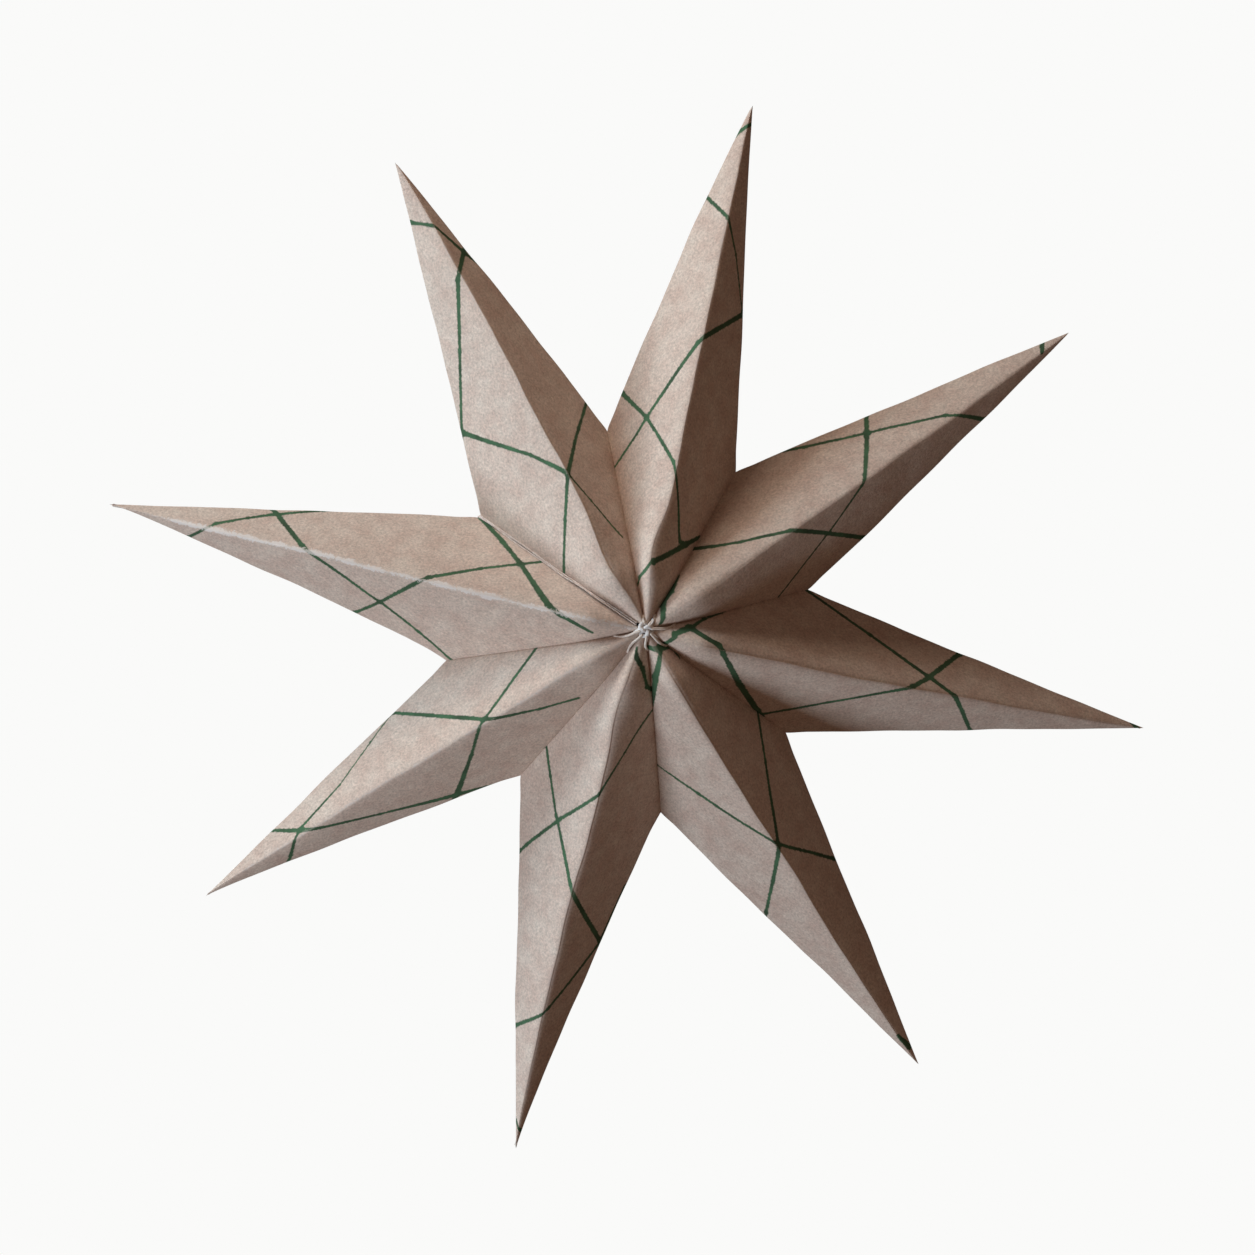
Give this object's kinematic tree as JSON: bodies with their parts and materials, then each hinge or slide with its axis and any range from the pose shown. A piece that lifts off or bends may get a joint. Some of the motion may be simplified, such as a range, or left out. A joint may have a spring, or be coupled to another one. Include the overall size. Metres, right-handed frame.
{
  "type": "folding paper star",
  "caption": "Folded paper star decoration with hollow printed points around a tied hub, which folds flat like a book for storage.",
  "frame": {"origin": "on the hub axis, in the plane that the crowns of the back rest on", "axes": "+Z along the hub axis, out of the star's front; +X to the right and +Y to the top, seen from the front"},
  "size_m": [0.2959, 0.299, 0.0746],
  "materials": {
    "printed_paper": "matte",
    "leaf_paper": "matte",
    "tape": "matte",
    "thread": "matte"
  },
  "bodies": {
    "point_1": {"point_1_sheet": "printed_paper", "end_leaf_1": "leaf_paper", "closing_tape": "tape", "hub_thread": "thread"},
    "point_2": {"point_2_sheet": "printed_paper"},
    "point_3": {"point_3_sheet": "printed_paper"},
    "point_4": {"point_4_sheet": "printed_paper"},
    "point_5": {"point_5_sheet": "printed_paper"},
    "point_6": {"point_6_sheet": "printed_paper"},
    "point_7": {"point_7_sheet": "printed_paper"},
    "point_8": {"point_8_sheet": "printed_paper", "end_leaf_8": "leaf_paper"}
  },
  "joints": [
    {"name": "point_8_fold", "type": "hinge", "parent": "point_1", "child": "point_8", "pos_m": [0, 0, 0.0373], "axis": [0, 0, 1], "range_deg": [0, 278.3], "deforming": ["point_8_sheet", "end_leaf_8", "point_1_sheet", "end_leaf_1", "closing_tape"]},
    {"name": "point_2_fold", "type": "hinge", "parent": "point_1", "child": "point_2", "pos_m": [0, 0, 0.0373], "axis": [0, 0, 1], "range_deg": [0, 35.9], "deforming": ["point_2_sheet"]},
    {"name": "point_3_fold", "type": "hinge", "parent": "point_1", "child": "point_3", "pos_m": [0, 0, 0.0373], "axis": [0, 0, 1], "range_deg": [0, 75.3], "deforming": ["point_3_sheet"]},
    {"name": "point_4_fold", "type": "hinge", "parent": "point_1", "child": "point_4", "pos_m": [0, 0, 0.0373], "axis": [0, 0, 1], "range_deg": [0, 116.7], "deforming": ["point_4_sheet"]},
    {"name": "point_5_fold", "type": "hinge", "parent": "point_1", "child": "point_5", "pos_m": [0, 0, 0.0373], "axis": [0, 0, 1], "range_deg": [0, 157.6], "deforming": ["point_5_sheet"]},
    {"name": "point_6_fold", "type": "hinge", "parent": "point_1", "child": "point_6", "pos_m": [0, 0, 0.0373], "axis": [0, 0, 1], "range_deg": [0, 198], "deforming": ["point_6_sheet"]},
    {"name": "point_7_fold", "type": "hinge", "parent": "point_1", "child": "point_7", "pos_m": [0, 0, 0.0373], "axis": [0, 0, 1], "range_deg": [0, 237.9], "deforming": ["point_7_sheet"]}
  ],
  "couplings": [
    {"joint": "point_2_fold", "follows": "point_8_fold", "ratio": 0.129},
    {"joint": "point_3_fold", "follows": "point_8_fold", "ratio": 0.27057},
    {"joint": "point_4_fold", "follows": "point_8_fold", "ratio": 0.41933},
    {"joint": "point_5_fold", "follows": "point_8_fold", "ratio": 0.56629},
    {"joint": "point_6_fold", "follows": "point_8_fold", "ratio": 0.71146},
    {"joint": "point_7_fold", "follows": "point_8_fold", "ratio": 0.85483}
  ]
}
